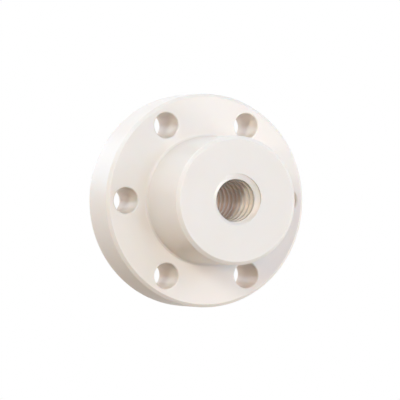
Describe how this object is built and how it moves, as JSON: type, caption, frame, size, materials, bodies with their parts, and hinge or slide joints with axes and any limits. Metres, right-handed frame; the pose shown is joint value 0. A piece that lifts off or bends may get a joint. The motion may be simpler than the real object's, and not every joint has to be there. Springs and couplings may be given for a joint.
{
  "type": "lead screw nut",
  "caption": "Flanged plastic nut for a trapezoidal lead screw: a round flange with bolt holes and a locating boss, threaded right through.",
  "frame": {"origin": "on the nut's axis, in the plane of the flange's back face", "axes": "+Z along the thread's axis, from the flange towards the boss; +X through the centre of one bolt hole"},
  "size_m": [0.042, 0.042, 0.025],
  "materials": {
    "ivory_plastic": "ivory bearing plastic, matte, as turned"
  },
  "bodies": {
    "root": {"flanged_nut": "ivory_plastic"}
  },
  "joints": []
}
